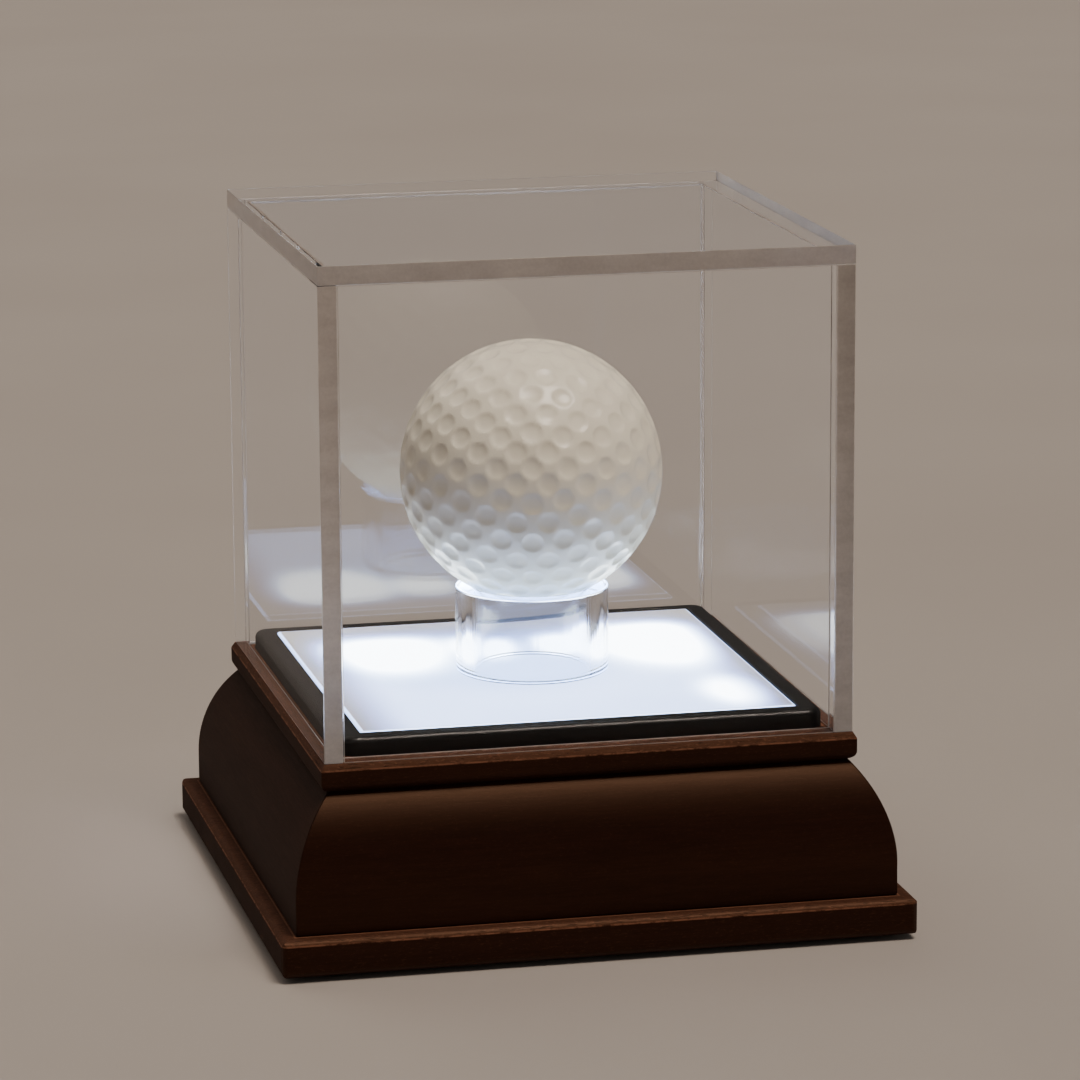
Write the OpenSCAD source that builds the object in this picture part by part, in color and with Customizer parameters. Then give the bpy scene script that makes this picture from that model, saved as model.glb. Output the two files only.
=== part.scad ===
// Lit display case for one golf ball: a wooden base with a back-lit panel,
// a clear riser ring that carries the ball, and a clear five-panel cover.
// Millimetres, +Z up. The origin is the centre of the underside, on the foot pads.

/* [Ball and riser] */
// Diameter of the golf ball
ball_d = 42.67; // [42:0.01:43]
// Outside diameter of the clear riser ring
riser_od = 25; // [24:0.5:28]
// Wall thickness of the riser ring
riser_wall = 3; // [2.5:0.5:3.5]
// Height of the riser ring
riser_h = 14; // [10:0.5:15]

/* [Cover] */
// Outside width and depth of the clear cover
cover_w = 84.5; // [84:0.1:85]
// Outside height of the clear cover
cover_h = 77.5; // [77:0.5:90]
// Thickness of the clear panels
acrylic_t = 3; // [2:0.1:3]

/* [Wooden base] */
// Width and depth of the plinth board
plinth_w = 101.6; // [100:0.2:110]
// Thickness of the plinth board
plinth_t = 5.9; // [5:0.1:6]
// Radius that eases the plinth's edges
plinth_edge_r = 1.1; // [0.4:0.1:1.4]
// Width and depth of the convex moulding at its foot
moulding_w = 96.2; // [95:0.1:98]
// Height of the convex moulding
moulding_h = 21.1; // [20.5:0.1:24]
// Height of the plain upright band at the moulding's foot
moulding_band_h = 5.1; // [3:0.1:6]
// Radius of the moulding's convex face
moulding_r = 23; // [22:0.5:26]
// Half-width of the hollow inside the moulding
cavity_half = 37; // [37:0.1:38]
// Width and depth of the ledge that the cover stands on
ledge_w = 85.8; // [85.4:0.1:87]
// Thickness of the ledge
ledge_t = 4.45; // [4:0.05:5]
// Radius of the ledge's rounded lower edge
ledge_edge_r = 1.4; // [0.8:0.1:1.9]
// Width of the bevel along the ledge's upper edge
ledge_bevel_w = 0.6; // [0.3:0.1:0.6]
// Height of the bevel along the ledge's upper edge
ledge_bevel_h = 1; // [0.5:0.1:1.5]
// Width and depth of the raised frame that locates the cover
frame_w = 77.2; // [76.6:0.1:77.6]
// Height of the raised frame above the ledge
frame_h = 3; // [2:0.1:4]
// Width of the raised frame's rails
frame_rail = 3.4; // [3:0.1:3.8]
// Diameter of the four foot pads
pad_d = 12; // [8:1:14]
// Thickness of the four foot pads
pad_t = 0.8; // [0.6:0.1:1.2]

/* [Light] */
// Depth of the frosted panel's bevelled edge
diffuser_bevel = 0.4; // [0.2:0.1:0.6]
// Clear depth between the lamp board's lamps and the frosted panel
lamp_gap = 6.2; // [5:0.1:6.5]
// Width and depth of the lamp board
led_board_w = 62; // [62:0.5:63]

/* [Battery compartment] */
// Diameter of one AAA cell
cell_d = 10.5; // [10:0.1:10.5]
// Length of one AAA cell over its button
cell_l = 44.5; // [44:0.1:44.5]
// Distance between the cells' axes
cell_pitch = 11.2; // [11:0.1:11.4]
// Wall thickness of the battery box
box_wall = 1.4; // [1.2:0.1:1.6]
// Thickness of the battery door
door_t = 1.6; // [1.4:0.1:1.8]
// Radius of the battery door's hinge pins
hinge_pin_r = 0.8; // [0.6:0.05:0.9]

/* [Fits] */
// Radial clearance of the hinge pins in their bores
pin_clearance = 0.05; // [0.03:0.01:0.08]
// Gap round parts that drop into an opening
drop_in_gap = 0.3; // [0.2:0.05:0.4]
// Gap left between the ball and its seat in the riser
seat_gap = 0.1; // [0.05:0.01:0.15]

/* [Hidden] */
$fn = 96;
eps = 0.01;
far = 300;

// Heights of the stack, from the table upwards
plinth_z = pad_t;
moulding_z = plinth_z + plinth_t;
ledge_z = moulding_z + moulding_h;
cover_z = ledge_z + ledge_t;
frame_top_z = cover_z + frame_h;
riser_top_z = frame_top_z + riser_h;

// Ball seat: how far the ball's centre stands above the riser's rim
ball_r = ball_d / 2;
riser_bore_r = riser_od / 2 - riser_wall;
seat_r = riser_bore_r + 0.4;
ball_z = riser_top_z + sqrt(ball_r * ball_r - seat_r * seat_r);

// Cover
cover_half = cover_w / 2;
cover_inner = cover_half - acrylic_t;
wall_h = cover_h - acrylic_t;

// Light box under the frosted panel
diffuser_half = frame_w / 2 - frame_rail - 0.1;
window_half = diffuser_half - 1.5;
tray_half = window_half - 0.2;
tray_wall = 1.2;
tray_top_z = cover_z - 0.15;
led_t = 1.4;
led_w = 3.5;
board_t = 1.6;
board_z = cover_z - lamp_gap - led_t - board_t;
standoff_h = 1.6;
tray_floor_t = 1.4;
tray_z = board_z - standoff_h - tray_floor_t;
tray_flange_half = cavity_half - 0.4;
tray_flange_t = 1.4;
board_screw_xy = 27.5;
// Lamps shine brightest along the back and at one front corner
led_places = [[-21, 17], [-5, 17], [9, 17], [25, 16], [29, -23]];
wire_r = 0.6;
wire_hole_r = 2;
wire_hole_xy = [24, 6];

// Battery compartment
plate_t = 0.4;
spring_l = 5;
bay_l = cell_l + spring_l + 2 * plate_t;
bay_half = 1.5 * cell_pitch;
bay_x = -bay_l / 2 - 5.5;
bay_end_x = bay_x + bay_l;
door_z = plinth_z + 0.2;
hinge_r = 1.4;
hinge_x = bay_x + drop_in_gap + hinge_r;
hinge_z = door_z + hinge_r;
cell_z = door_z + door_t + 0.3 + cell_d / 2;
bay_top_z = cell_z + cell_d / 2 + 0.4;
box_top_z = bay_top_z + box_wall;
flange_t = 2;
flange_half = [36.5, 22.5];
recess_gap = 0.2;
opening_half = [32.4, bay_half + box_wall + 0.3];
box_screw_xy = [34, 20];
switch_x = 28.4;
switch_size = [5, 10, 4.4];
switch_travel = 2.6;
switch_pin_l = 3;
switch_pin_pitch = 2.5;
switch_pin_z = plinth_z + flange_t + switch_size[2] + switch_pin_l;

// Screws
base_screw_r = 1.5;
base_screw_l = 14;
base_screw_xy = 42.5;
small_screw_r = 1;

// Colours
wood = [0.16, 0.075, 0.055];
black = [0.05, 0.045, 0.045];
clear = [0.85, 0.9, 0.95, 0.35];
frosted = [0.92, 0.96, 1];
steel = [0.72, 0.72, 0.74];

// ---- Shared shapes ----

// A rectangle centred on the origin with round corners
module rounded_rect(w, h, r) {
  square([w - 2 * r, h], center = true);
  square([w, h - 2 * r], center = true);
  for (x = [-1, 1], y = [-1, 1])
    translate([x * (w / 2 - r), y * (h / 2 - r)]) circle(r);
}

// A square board from z = 0 with eased top and bottom edges and round corners
module eased_board(w, t, edge_r, corner_r) {
  intersection() {
    linear_extrude(t) rounded_rect(w, w, corner_r);
    translate([0, w, t / 2]) rotate([90, 0, 0]) linear_extrude(2 * w) rounded_rect(w, t, edge_r);
    translate([-w, 0, t / 2]) rotate([90, 0, 90]) linear_extrude(2 * w) rounded_rect(w, t, edge_r);
  }
}

// The quarter of space in front of the centre, between the two mitre lines
module mitre_wedge() {
  linear_extrude(far) polygon([[0, 0], [far, -far], [-far, -far]]);
}

// A rail along the front side, mitred at both ends, from a profile drawn with
// x as the distance outwards from the centre and y as the height
module mitred_rail() {
  intersection() {
    translate([-far / 2, 0, 0]) rotate([90, 0, 90]) linear_extrude(far) mirror([1, 0]) children();
    mitre_wedge();
  }
}

// Turns a front part to stand at the right, rear or left
module at_side(side) {
  turn = side == "right" ? 90 : side == "rear" ? 180 : side == "left" ? 270 : 0;
  rotate([0, 0, turn]) children();
}

// A pan-head screw with its head's underside at z = 0 and its shank below
module pan_screw(r, l) {
  translate([0, 0, -l]) cylinder(r = r, h = l);
  difference() {
    cylinder(r1 = 1.6 * r, r2 = 1.4 * r, h = 0.9 * r);
    translate([0, 0, 0.5 * r]) cube([2.2 * r, 0.35 * r, r], center = true);
    translate([0, 0, 0.5 * r]) cube([0.35 * r, 2.2 * r, r], center = true);
  }
}

// A countersunk screw, driven upwards, with its head flush at z = 0
module countersunk_screw(r, l) {
  difference() {
    union() {
      cylinder(r = r, h = l);
      cylinder(r1 = 2 * r, r2 = r, h = r);
    }
    cube([2.4 * r, 0.4 * r, 1.0 * r], center = true);
    cube([0.4 * r, 2.4 * r, 1.0 * r], center = true);
  }
}

// The hole that a countersunk screw leaves in the wood, from z = 0 upwards
module countersunk_hole(r, l) {
  translate([0, 0, -eps]) cylinder(r = r, h = l + eps);
  cylinder(r1 = 2 * r, r2 = r, h = r);
}

// The middles of the four sides, at a distance from the centre
module four_sides(distance) {
  for (turn = [0 : 90 : 270])
    rotate([0, 0, turn]) translate([distance, 0, 0]) children();
}

// The four corners of a rectangle
module four_corners(x, y) {
  for (i = [-1, 1], j = [-1, 1])
    translate([i * x, j * y, 0]) children();
}

function unit(v) = v / norm(v);

// Points of a smooth curve through a list of points, steps to each stretch
function smooth_route(points, steps) =
  let(last = len(points) - 1)
  concat(
    [for (i = [0 : last - 1], k = [0 : steps - 1]) let(
      t = k / steps,
      p0 = points[max(i - 1, 0)],
      p1 = points[i],
      p2 = points[i + 1],
      p3 = points[min(i + 2, last)]
    ) (2 * p1 + (p2 - p0) * t + (2 * p0 - 5 * p1 + 4 * p2 - p3) * t * t
      + (3 * p1 - p0 - 3 * p2 + p3) * t * t * t) / 2],
    [points[last]]
  );

// A round rod of radius r along a path that never runs parallel to side_axis
module sweep(path, r, side_axis) {
  sides = 8;
  last = len(path) - 1;
  points = [
    for (i = [0 : last]) let(
      t = unit(path[min(i + 1, last)] - path[max(i - 1, 0)]),
      n = unit(cross(t, side_axis)),
      b = cross(t, n)
    ) for (j = [0 : sides - 1]) let(a = 360 * j / sides) path[i] + r * (n * cos(a) + b * sin(a))
  ];
  walls = [
    for (i = [0 : last - 1], j = [0 : sides - 1]) let(k = (j + 1) % sides)
      [i * sides + k, i * sides + j, (i + 1) * sides + j, (i + 1) * sides + k]
  ];
  first = [for (j = [0 : sides - 1]) j];
  end = [for (j = [sides - 1 : -1 : 0]) last * sides + j];
  polyhedron(points = points, faces = concat([first], walls, [end]), convexity = 8);
}

// A wire whose route stays near an upright plane that faces the given way
module wire(points, facing) {
  sweep(smooth_route(points, 6), wire_r, facing);
}

// ---- Wooden base ----

module plinth_board() {
  color(wood)
    translate([0, 0, plinth_z])
      difference() {
        eased_board(plinth_w, plinth_t, plinth_edge_r, 1.2);
        translate([-opening_half[0], -opening_half[1], -eps])
          cube([2 * opening_half[0], 2 * opening_half[1], plinth_t + 2 * eps]);
        translate([-flange_half[0] - recess_gap, -flange_half[1] - recess_gap, -eps])
          cube([2 * (flange_half[0] + recess_gap), 2 * (flange_half[1] + recess_gap), flange_t + eps]);
        four_corners(box_screw_xy[0], box_screw_xy[1])
          cylinder(r = small_screw_r, h = flange_t + 3);
        four_sides(base_screw_xy) countersunk_hole(base_screw_r, plinth_t + eps);
      }
}

// The moulding's section: an upright band below and a convex arc above it
module moulding_profile() {
  band = moulding_band_h;
  translate([cavity_half, 0]) square([moulding_w / 2 - cavity_half, band]);
  intersection() {
    translate([cavity_half, band]) square([moulding_w / 2 - cavity_half, moulding_h - band]);
    translate([moulding_w / 2 - moulding_r, band]) circle(moulding_r, $fn = 180);
  }
}

module moulding(side) {
  color(wood)
    difference() {
      at_side(side) translate([0, 0, moulding_z]) mitred_rail() moulding_profile();
      translate([0, 0, plinth_z]) four_sides(base_screw_xy) cylinder(r = base_screw_r, h = base_screw_l);
    }
}

// The ledge's section: flat, with a bevelled upper edge and a rounded lower one
module ledge_profile() {
  outer = ledge_w / 2;
  r = ledge_edge_r;
  translate([window_half, 0]) square([outer - r - window_half, r]);
  translate([outer - r, r]) circle(r);
  polygon([
    [window_half, r],
    [outer, r],
    [outer, ledge_t - ledge_bevel_h],
    [outer - ledge_bevel_w, ledge_t],
    [window_half, ledge_t]
  ]);
}

module ledge(side) {
  color(wood)
    difference() {
      at_side(side) translate([0, 0, ledge_z]) mitred_rail() ledge_profile();
      translate([0, 0, ledge_z - eps]) four_sides(tray_half + 1.7) cylinder(r = small_screw_r, h = 3 + eps);
    }
}

module raised_frame() {
  edge_r = 1.1;
  color(black)
    translate([0, 0, cover_z])
      difference() {
        intersection() {
          translate([0, 0, -frame_h]) eased_board(frame_w, 2 * frame_h, edge_r, 2.4);
          linear_extrude(frame_h) square(2 * frame_w, center = true);
        }
        translate([0, 0, -eps])
          linear_extrude(frame_h + 2 * eps) square(2 * (diffuser_half + 0.1), center = true);
      }
}

module glue_blocks() {
  leg = 8;
  color([0.55, 0.42, 0.28])
    for (turn = [0 : 90 : 270])
      rotate([0, 0, turn])
        translate([cavity_half, cavity_half, moulding_z])
          linear_extrude(11) polygon([[0, 0], [-leg, 0], [0, -leg]]);
}

module base_screws() {
  color(steel)
    translate([0, 0, plinth_z])
      four_sides(base_screw_xy) countersunk_screw(base_screw_r, base_screw_l);
}

module foot_pads() {
  color([0.07, 0.07, 0.07])
    four_corners(plinth_w / 2 - 9, plinth_w / 2 - 9)
      cylinder(d = pad_d, h = pad_t);
}

// ---- Light ----

module diffuser_panel() {
  side = 2 * diffuser_half;
  color(frosted)
    translate([0, 0, cover_z])
      difference() {
        translate([-diffuser_half, -diffuser_half, 0]) cube([side, side, frame_h]);
        for (turn = [0 : 90 : 270])
          rotate([0, 0, turn])
            translate([diffuser_half, 0, frame_h])
              rotate([0, 45, 0])
                cube([diffuser_bevel * sqrt(2), 2 * side, diffuser_bevel * sqrt(2)], center = true);
      }
}

module light_tray() {
  inner = tray_half - tray_wall;
  color("white")
    difference() {
      union() {
        translate([-tray_half, -tray_half, tray_z]) cube([2 * tray_half, 2 * tray_half, tray_top_z - tray_z]);
        translate([-tray_flange_half, -tray_flange_half, ledge_z - tray_flange_t])
          cube([2 * tray_flange_half, 2 * tray_flange_half, tray_flange_t]);
      }
      difference() {
        translate([-inner, -inner, tray_z + tray_floor_t])
          cube([2 * inner, 2 * inner, tray_top_z - tray_z]);
        four_corners(board_screw_xy, board_screw_xy)
          translate([0, 0, tray_z]) cylinder(r = 2.6, h = tray_floor_t + standoff_h);
      }
      four_corners(board_screw_xy, board_screw_xy)
        translate([0, 0, tray_z + 0.6]) cylinder(r = small_screw_r, h = far);
      translate([wire_hole_xy[0], wire_hole_xy[1], tray_z - eps])
        cylinder(r = wire_hole_r, h = tray_floor_t + 2 * eps);
      translate([0, 0, ledge_z - tray_flange_t - eps])
        four_sides(tray_half + 1.7) cylinder(r = small_screw_r, h = tray_flange_t + 2 * eps);
    }
}

module tray_screws() {
  color(steel)
    translate([0, 0, ledge_z - tray_flange_t])
      four_sides(tray_half + 1.7) mirror([0, 0, 1]) pan_screw(small_screw_r * 0.999, tray_flange_t + 2.6);
}

module led_board() {
  color([0.9, 0.92, 0.9])
    translate([0, 0, board_z])
      difference() {
        translate([-led_board_w / 2, -led_board_w / 2, 0]) cube([led_board_w, led_board_w, board_t]);
        four_corners(board_screw_xy, board_screw_xy)
          translate([0, 0, -eps]) cylinder(r = small_screw_r, h = board_t + 2 * eps);
      }
}

module leds() {
  for (place = led_places)
    translate([place[0], place[1], board_z + board_t]) {
      color("white")
        difference() {
          translate([-led_w / 2, -led_w / 2, 0]) cube([led_w, led_w, led_t]);
          translate([0, 0, 0.5]) cylinder(r1 = 1, r2 = 1.5, h = led_t - 0.5 + eps);
        }
      color([1, 0.95, 0.7]) translate([0, 0, 0.5]) cylinder(r1 = 1, r2 = 1.4, h = 0.7);
    }
}

module resistors() {
  color([0.08, 0.08, 0.08])
    for (place = led_places)
      translate([place[0] - 1, place[1] + 4, board_z + board_t]) cube([2, 1.2, 0.5]);
}

module led_board_screws() {
  color(steel)
    translate([0, 0, board_z + board_t])
      four_corners(board_screw_xy, board_screw_xy) pan_screw(small_screw_r * 0.999, board_t + standoff_h + 0.6);
}

// ---- Battery compartment ----

module battery_box() {
  wall_half = bay_half + box_wall;
  color([0.06, 0.06, 0.065])
    difference() {
      union() {
        translate([-flange_half[0], -flange_half[1], plinth_z])
          cube([2 * flange_half[0], 2 * flange_half[1], flange_t]);
        translate([bay_x - box_wall, -wall_half, plinth_z])
          cube([bay_l + 2 * box_wall, 2 * wall_half, box_top_z - plinth_z]);
      }
      // The bay, open underneath
      translate([bay_x, -bay_half, plinth_z - eps])
        cube([bay_l, 2 * bay_half, bay_top_z - plinth_z + eps]);
      // Bores for the battery door's hinge pins
      translate([hinge_x, wall_half + eps, hinge_z])
        rotate([90, 0, 0]) cylinder(r = hinge_pin_r + pin_clearance, h = 2 * wall_half + 2 * eps);
      // Slot for the switch's thumb piece
      translate([switch_x - 1.7, -switch_travel / 2 - 1.9, plinth_z - eps])
        cube([3.4, switch_travel + 3.8, flange_t + 2 * eps]);
      four_corners(box_screw_xy[0], box_screw_xy[1])
        translate([0, 0, plinth_z]) countersunk_hole(small_screw_r, flange_t + eps);
      // Holes that the wires leave by
      for (place = [[bay_x + 1, -cell_pitch], [bay_end_x - 1, cell_pitch]])
        translate([place[0], place[1], bay_top_z - eps]) cylinder(r = wire_r + 0.2, h = box_wall + 2 * eps);
    }
}

module battery_box_screws() {
  color(steel)
    translate([0, 0, plinth_z])
      four_corners(box_screw_xy[0], box_screw_xy[1])
        countersunk_screw(small_screw_r * 0.999, flange_t + 2.8);
}

// A cell lying along X; it points to +X or -X in turn, as cells in series do
module battery(index) {
  points_right = index != 1;
  button_l = 1.2;
  x_start = points_right ? bay_x + plate_t + spring_l : bay_end_x - plate_t - spring_l;
  translate([x_start, (index - 1) * cell_pitch, cell_z])
    rotate([0, points_right ? 90 : -90, 0]) {
      color([0.12, 0.25, 0.5]) translate([0, 0, 0.5]) cylinder(d = cell_d, h = cell_l - button_l - 1);
      color(steel) cylinder(d = cell_d - 1.6, h = cell_l - button_l);
      color(steel) translate([0, 0, cell_l - button_l - eps]) cylinder(d = 3.8, h = button_l + eps);
    }
}

// One conical contact spring along +X from its wide end
module contact_spring() {
  turns = 4;
  steps = 14 * turns;
  r_wire = 0.3;
  wide = 3.4;
  narrow = 2.2;
  path = [
    for (i = [0 : steps]) let(t = i / steps, a = 360 * turns * t, r = wide + (narrow - wide) * t)
      [r_wire + (spring_l - 2 * r_wire) * t, r * cos(a), r * sin(a)]
  ];
  sweep(path, r_wire, [1, 0, 0]);
}

module battery_springs() {
  color(steel) {
    for (index = [0, 2])
      translate([bay_x + plate_t, (index - 1) * cell_pitch, cell_z]) contact_spring();
    translate([bay_end_x - plate_t, 0, cell_z]) mirror([1, 0, 0]) contact_spring();
  }
}

// Each end has one single contact, with a tab for its wire, and one that links two cells
module battery_plates() {
  tall = cell_d - 3;
  margin = 0.8;
  single = cell_pitch - 2 * margin;
  linked = 2 * cell_pitch - 2 * margin;
  tab_w = 2;
  tab_h = bay_top_z - 0.2 - cell_z;
  color(steel)
    for (end = [-1, 1])
      translate([end < 0 ? bay_x : bay_end_x - plate_t, 0, cell_z]) {
        translate([0, end * cell_pitch - single / 2, -tall / 2]) cube([plate_t, single, tall]);
        translate([0, end * cell_pitch - tab_w / 2, 0]) cube([plate_t, tab_w, tab_h]);
        translate([0, -end * cell_pitch / 2 - linked / 2, -tall / 2]) cube([plate_t, linked, tall]);
      }
}

module battery_door() {
  door_half = bay_half - drop_in_gap;
  door_end_x = bay_end_x - drop_in_gap;
  pin_l = box_wall - 0.3 + drop_in_gap;
  // Short knuckles, so that the middle cell's end passes between them
  knuckle_l = 6;
  color([0.07, 0.07, 0.075])
    difference() {
      union() {
        translate([hinge_x, -door_half, door_z]) cube([door_end_x - hinge_x, 2 * door_half, door_t]);
        for (end = [-1, 1])
          translate([hinge_x, end * door_half, hinge_z]) {
            rotate([end * 90, 0, 0]) cylinder(r = hinge_r, h = knuckle_l);
            rotate([-end * 90, 0, 0]) translate([0, 0, -eps]) cylinder(r = hinge_pin_r, h = pin_l + eps);
          }
      }
      // Finger recess and grip ribs at the free end
      translate([door_end_x - 5, 0, door_z - 4.6]) rotate([90, 0, 90]) cylinder(r = 5.4, h = 6);
      for (i = [0 : 3])
        translate([door_end_x - 12 - 2 * i, -6, door_z - eps]) cube([0.8, 12, 0.4]);
    }
}

// ---- Switch ----

module switch_housing() {
  size = switch_size;
  wall = 0.6;
  color(steel)
    translate([switch_x, 0, plinth_z + flange_t])
      difference() {
        union() {
          translate([-size[0] / 2, -size[1] / 2, 0]) cube(size);
          for (i = [-1 : 1])
            translate([-0.25, i * switch_pin_pitch - 0.5, size[2] - eps]) cube([0.5, 1, switch_pin_l]);
        }
        translate([-size[0] / 2 + wall, -size[1] / 2 + wall, wall])
          cube([size[0] - 2 * wall, size[1] - 2 * wall, size[2] - 2 * wall - 0.6]);
        translate([-1.3, -switch_travel / 2 - 1.5, -eps])
          cube([2.6, switch_travel + 3, wall + 2 * eps]);
      }
}

module switch_slider() {
  recess = 0.5;
  stem_h = flange_t - recess + 1;
  color([0.08, 0.08, 0.08])
    translate([switch_x, switch_travel / 2, plinth_z + recess]) {
      translate([-1, -1.1, 0]) cube([2, 2.2, stem_h]);
      translate([-1.6, -1.9 + 0.3, stem_h - 0.1]) cube([3.2, 3.2, 1.4]);
      for (y = [-1.1, -0.2, 0.7])
        translate([-1.3, y, 0]) cube([2.6, 0.4, 1.2]);
    }
}

// ---- Wiring ----

module wire_positive() {
  color([0.7, 0.05, 0.04])
    wire([
      [bay_end_x - 1, cell_pitch, bay_top_z - 1],
      [bay_end_x - 1, cell_pitch, box_top_z + 0.4],
      [bay_end_x + 1, cell_pitch - 1, box_top_z + 1.6],
      [switch_x - 3, 7.6, box_top_z + 0.6],
      [switch_x - 0.2, 3.6, switch_pin_z + 2.8],
      [switch_x, switch_pin_pitch, switch_pin_z + 0.8],
      [switch_x, switch_pin_pitch, switch_pin_z]
    ], [0.75, 0.65, 0]);
}

module wire_switched() {
  color([0.75, 0.35, 0.05])
    wire([
      [switch_x, 0, switch_pin_z],
      [switch_x - 0.2, 0.4, switch_pin_z + 2.8],
      [wire_hole_xy[0] + 2, wire_hole_xy[1] - 2.4, box_top_z + 1.4],
      [wire_hole_xy[0] + 0.8, wire_hole_xy[1] - 0.2, box_top_z + 3.4],
      [wire_hole_xy[0] + 0.8, wire_hole_xy[1], tray_z + 1],
      [wire_hole_xy[0] + 0.8, wire_hole_xy[1], board_z - 0.02]
    ], [0.85, 0.5, 0]);
}

// Runs over the top of the battery box from the far end
module wire_negative() {
  over_box_z = box_top_z + wire_r + 0.1;
  color([0.04, 0.04, 0.04])
    wire([
      [bay_x + 1.05, -cell_pitch, bay_top_z - 1],
      [bay_x + 1.05, -cell_pitch, box_top_z],
      [bay_x + 3, -cell_pitch + 1, over_box_z + 0.8],
      [bay_x + 12, -cell_pitch + 2, over_box_z],
      [0, -7, over_box_z],
      [14, -1, over_box_z],
      [wire_hole_xy[0] - 1.6, wire_hole_xy[1] - 1.4, over_box_z + 0.8],
      [wire_hole_xy[0] - 0.8, wire_hole_xy[1], tray_z],
      [wire_hole_xy[0] - 0.8, wire_hole_xy[1], board_z - 0.02]
    ], [-0.4, 0.9, 0]);
}

// ---- Riser and ball ----

module riser_ring() {
  color(clear)
    translate([0, 0, frame_top_z])
      difference() {
        cylinder(d = riser_od, h = riser_h);
        translate([0, 0, -eps]) cylinder(r = riser_bore_r, h = riser_h + 2 * eps);
        translate([0, 0, ball_z - frame_top_z]) sphere(r = ball_r + seat_gap);
      }
}

module golf_ball() {
  color("white") translate([0, 0, ball_z]) sphere(r = ball_r);
}

// ---- Cover ----

module cover_top() {
  color(clear)
    translate([-cover_half, -cover_half, cover_z + wall_h]) cube([cover_w, cover_w, acrylic_t]);
}

// The side panels run the full depth, and the front and rear fit between them
module cover_side(side) {
  color(clear)
    translate([side * (cover_half - acrylic_t / 2) - acrylic_t / 2, -cover_half, cover_z])
      cube([acrylic_t, cover_w, wall_h]);
}

module cover_end(side) {
  color(clear)
    translate([-cover_inner, side * (cover_half - acrylic_t / 2) - acrylic_t / 2, cover_z])
      cube([2 * cover_inner, acrylic_t, wall_h]);
}

plinth_board();
moulding("front");  // moulding_front
moulding("rear");  // moulding_rear
moulding("left");  // moulding_left
moulding("right");  // moulding_right
ledge("front");  // ledge_front
ledge("rear");  // ledge_rear
ledge("left");  // ledge_left
ledge("right");  // ledge_right
raised_frame();
glue_blocks();
base_screws();
foot_pads();
diffuser_panel();
light_tray();
tray_screws();
led_board();
leds();
resistors();
led_board_screws();
battery_box();
battery_box_screws();
battery(0);  // battery_1
battery(1);  // battery_2
battery(2);  // battery_3
battery_springs();
battery_plates();
battery_door();
switch_housing();
switch_slider();
wire_positive();
wire_negative();
wire_switched();
riser_ring();
golf_ball();
cover_top();
cover_end(-1);  // cover_front
cover_end(1);  // cover_rear
cover_side(-1);  // cover_left
cover_side(1);  // cover_right
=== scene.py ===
"""Looks of the lit golf-ball display case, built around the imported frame. Metres, +Z up."""

import math

import bmesh
import bpy
import numpy as np
from mathutils import Matrix, Vector


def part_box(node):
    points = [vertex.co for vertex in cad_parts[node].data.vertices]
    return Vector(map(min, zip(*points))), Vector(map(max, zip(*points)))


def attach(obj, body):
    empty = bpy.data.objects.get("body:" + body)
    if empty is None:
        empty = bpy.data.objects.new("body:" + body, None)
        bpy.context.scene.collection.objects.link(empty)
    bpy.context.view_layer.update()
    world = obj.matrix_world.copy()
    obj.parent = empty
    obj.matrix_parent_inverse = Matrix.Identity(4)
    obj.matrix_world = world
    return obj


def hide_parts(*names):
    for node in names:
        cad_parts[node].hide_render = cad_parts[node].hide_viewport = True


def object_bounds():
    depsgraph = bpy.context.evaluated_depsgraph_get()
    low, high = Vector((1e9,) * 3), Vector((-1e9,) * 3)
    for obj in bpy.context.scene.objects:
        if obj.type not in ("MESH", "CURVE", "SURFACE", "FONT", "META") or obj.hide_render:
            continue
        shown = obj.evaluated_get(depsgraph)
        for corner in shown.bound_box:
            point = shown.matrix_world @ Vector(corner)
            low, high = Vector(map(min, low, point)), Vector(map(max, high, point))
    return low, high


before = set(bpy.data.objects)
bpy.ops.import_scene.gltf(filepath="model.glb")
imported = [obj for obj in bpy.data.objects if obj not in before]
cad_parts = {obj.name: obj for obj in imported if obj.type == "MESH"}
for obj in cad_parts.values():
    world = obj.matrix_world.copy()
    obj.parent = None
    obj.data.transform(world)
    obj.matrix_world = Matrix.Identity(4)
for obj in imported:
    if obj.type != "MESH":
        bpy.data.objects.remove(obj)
cad_low, cad_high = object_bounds()

MM = 0.001
SIDES = (("front", 0), ("right", 90), ("rear", 180), ("left", 270))  # name and turn in degrees

WOOD_DARK = (0.0062, 0.0013, 0.0009)
WOOD_LIGHT = (0.022, 0.0053, 0.0030)
WOOD_WEAR_AND_LIGHT = (0.25, 0.105, 0.060)

CAMERA_PLACE = (-0.1726, -0.7736, 0.2283)
CAMERA_TURNS = (12.68, 12.23, -0.34)  # to the right, down and roll, in degrees
CAMERA_LENS = 166.1  # on a 36 mm sensor


# ---- Camera, light and floor ----

def add_camera():
    """A long lens, a little above the case and to its left."""
    yaw, down, roll = (math.radians(turn) for turn in CAMERA_TURNS)
    forward = Vector((math.sin(yaw) * math.cos(down), math.cos(yaw) * math.cos(down), -math.sin(down)))
    level = Vector((math.cos(yaw), -math.sin(yaw), 0))
    over = level.cross(forward)
    right = math.cos(roll) * level + math.sin(roll) * over
    up = math.cos(roll) * over - math.sin(roll) * level
    data = bpy.data.cameras.new("camera")
    data.sensor_width = 36
    data.lens = CAMERA_LENS
    data.clip_start = 0.01
    camera = bpy.data.objects.new("camera", data)
    camera.matrix_world = Matrix((
        (right.x, up.x, -forward.x, CAMERA_PLACE[0]),
        (right.y, up.y, -forward.y, CAMERA_PLACE[1]),
        (right.z, up.z, -forward.z, CAMERA_PLACE[2]),
        (0, 0, 0, 1),
    ))
    bpy.context.scene.collection.objects.link(camera)
    bpy.context.scene.camera = camera


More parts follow.
